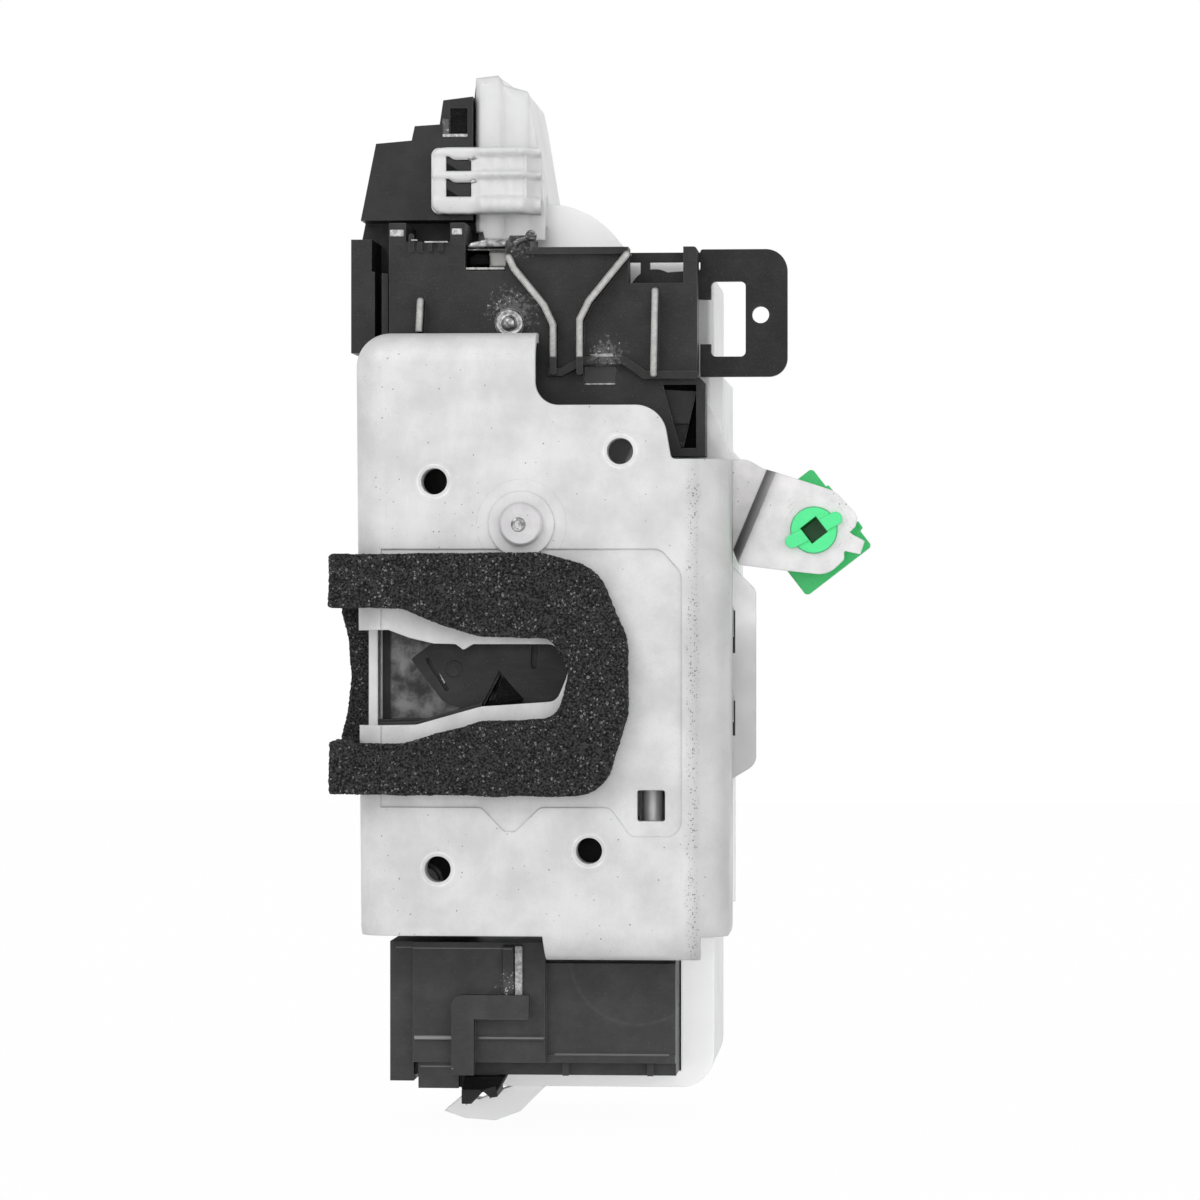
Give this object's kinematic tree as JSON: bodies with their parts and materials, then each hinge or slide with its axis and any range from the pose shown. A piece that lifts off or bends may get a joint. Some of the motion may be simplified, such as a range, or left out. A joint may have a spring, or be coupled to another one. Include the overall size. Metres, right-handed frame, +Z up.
{
  "type": "vehicle door latch actuator",
  "caption": "Side door latch and lock actuator: steel plate with a foam-ringed striker mouth, rotary fork, pawl, release and key levers, and a geared lock motor in a sealed plastic case.",
  "frame": {"origin": "axis of the upper inner bolt hole, on the front of the face plate", "axes": "+Z up along the plate's long side, +X to the right as seen facing the plate, +Y into the door module, away from the viewer"},
  "size_m": [0.1023, 0.0805, 0.2046],
  "materials": {
    "galvanised": "galvanised sheet, matt spangle, scuffed",
    "zinc_steel": "zinc plated pressed steel",
    "plain_steel": "brushed steel sheet",
    "spring_steel": "spring wire, lightly oiled",
    "black_nylon": "moulded black glass-filled nylon",
    "natural_plastic": "natural translucent moulded plastic",
    "green_acetal": "moulded green acetal",
    "white_acetal": "moulded natural acetal",
    "foam": "open-cell charcoal foam",
    "rubber": "moulded black rubber",
    "silicone": "moulded silicone",
    "copper": "tinned copper alloy strip"
  },
  "bodies": {
    "latch_frame": {"face_plate": "galvanised", "foam_seal": "foam", "back_plate": "plain_steel", "latch_housing": "black_nylon", "throat_bumper": "rubber", "fork_rivet": "zinc_steel", "pawl_rivet": "zinc_steel", "window_pin": "zinc_steel", "ajar_switch": "black_nylon", "lever_rivet": "zinc_steel", "lever_spring": "spring_steel", "link_guide_pin": "zinc_steel", "actuator_base": "black_nylon", "actuator_cover": "natural_plastic", "module_gasket": "rubber", "module_screws": "zinc_steel", "motor_can": "zinc_steel", "motor_cap": "black_nylon", "motor_blades": "copper", "wheel_axle": "plain_steel", "water_shield": "black_nylon", "shield_rivet": "zinc_steel", "drain_chute": "black_nylon", "cable_bracket": "black_nylon", "inside_release_rivet": "zinc_steel", "inside_lock_rivet": "zinc_steel", "connector_housing": "black_nylon", "connector_terminals": "copper", "connector_seal": "silicone", "leadframe": "copper", "position_switch": "black_nylon"},
    "fork": {"fork_core": "plain_steel", "fork_overmould": "black_nylon", "fork_spring": "spring_steel"},
    "pawl": {"pawl_core": "plain_steel", "pawl_overmould": "black_nylon", "pawl_peg": "zinc_steel", "pawl_spring": "spring_steel"},
    "release_lever": {"outside_release_lever": "zinc_steel", "lever_link_pin": "zinc_steel"},
    "rod_clip": {"rod_clip": "green_acetal"},
    "release_link": {"release_link": "zinc_steel"},
    "key_lever": {"key_lever": "black_nylon", "key_shaft": "black_nylon"},
    "lock_lever": {"lock_lever": "black_nylon"},
    "worm_wheel": {"worm_wheel": "white_acetal"},
    "motor_rotor": {"motor_shaft": "plain_steel", "motor_worm": "white_acetal"},
    "lock_rod": {"lock_rod": "spring_steel"},
    "lock_crank": {"lock_crank": "white_acetal"},
    "ajar_plunger": {"ajar_plunger": "white_acetal"},
    "inside_release_lever": {"inside_release_lever": "zinc_steel"},
    "inside_lock_lever": {"inside_lock_lever": "white_acetal"}
  },
  "joints": [
    {"name": "fork_turn", "type": "hinge", "parent": "latch_frame", "child": "fork", "pos_m": [0.0167, 0.01, -0.0082], "axis": [0, -1, 0], "range_deg": [0, 53], "stiffness_Nm_per_rad": 0.02, "springref_deg": -22.92},
    {"name": "release_lever_swing", "type": "hinge", "parent": "latch_frame", "child": "release_lever", "pos_m": [0.04, 0.0234, -0.004], "axis": [0, -1, 0], "range_deg": [0, 20], "stiffness_Nm_per_rad": 0.3, "springref_deg": -14.32},
    {"name": "pawl_turn", "type": "hinge", "parent": "latch_frame", "child": "pawl", "pos_m": [0.0323, 0.01, -0.0483], "axis": [0, -1, 0], "range_deg": [0, 17]},
    {"name": "release_link_slide", "type": "slide", "parent": "latch_frame", "child": "release_link", "axis": [0, 0, 1], "range_m": [0, 0.00306]},
    {"name": "rod_clip_swivel", "type": "hinge", "parent": "release_lever", "child": "rod_clip", "pos_m": [0.0719, 0.018, -0.0091], "axis": [0, -1, 0], "range_deg": [-25, 25]},
    {"name": "key_lever_swing", "type": "hinge", "parent": "latch_frame", "child": "key_lever", "pos_m": [0.041, 0.021, 0.0366], "axis": [0, -1, 0], "range_deg": [-15, 15]},
    {"name": "lock_lever_turn", "type": "hinge", "parent": "latch_frame", "child": "lock_lever", "pos_m": [0.041, 0.041, 0.0366], "axis": [0, 1, 0], "range_deg": [0, 30]},
    {"name": "worm_wheel_turn", "type": "hinge", "parent": "latch_frame", "child": "worm_wheel", "pos_m": [0.019, 0.046, 0.0377], "axis": [0, 1, 0], "range_deg": [-80.5, 0]},
    {"name": "motor_spin", "type": "hinge", "parent": "latch_frame", "child": "motor_rotor", "pos_m": [0.002, 0.046, 0.0377], "axis": [0, 0, 1], "continuous": true},
    {"name": "lock_rod_slide", "type": "slide", "parent": "latch_frame", "child": "lock_rod", "axis": [0, 0, -1], "range_m": [0, 0.0029]},
    {"name": "lock_crank_turn", "type": "hinge", "parent": "latch_frame", "child": "lock_crank", "pos_m": [0.0414, 0.0065, -0.0617], "axis": [0, 0, 1], "range_deg": [0, 15.5]},
    {"name": "ajar_plunger_press", "type": "slide", "parent": "latch_frame", "child": "ajar_plunger", "axis": [0, 0, 1], "range_m": [0, 0.0012], "stiffness_N_per_m": 400, "springref_m": -0.0006},
    {"name": "inside_release_lever_swing", "type": "hinge", "parent": "latch_frame", "child": "inside_release_lever", "pos_m": [-0.0164, 0.052, 0.012], "axis": [-1, 0, 0], "range_deg": [0, 25], "stiffness_Nm_per_rad": 0.05, "springref_deg": -11.46},
    {"name": "inside_lock_lever_swing", "type": "hinge", "parent": "latch_frame", "child": "inside_lock_lever", "pos_m": [-0.0164, 0.05, -0.035], "axis": [1, 0, 0], "range_deg": [-15, 15]}
  ],
  "couplings": [
    {"joint": "release_lever_swing", "follows": "release_link_slide", "rad_per_m": 113.38},
    {"joint": "pawl_turn", "follows": "release_link_slide", "rad_per_m": 90.703},
    {"joint": "lock_lever_turn", "follows": "lock_rod_slide", "rad_per_m": 179.53},
    {"joint": "worm_wheel_turn", "follows": "lock_rod_slide", "rad_per_m": -478.76},
    {"joint": "motor_spin", "follows": "lock_rod_slide", "rad_per_m": 13405},
    {"joint": "lock_crank_turn", "follows": "lock_rod_slide", "rad_per_m": 89.767}
  ]
}
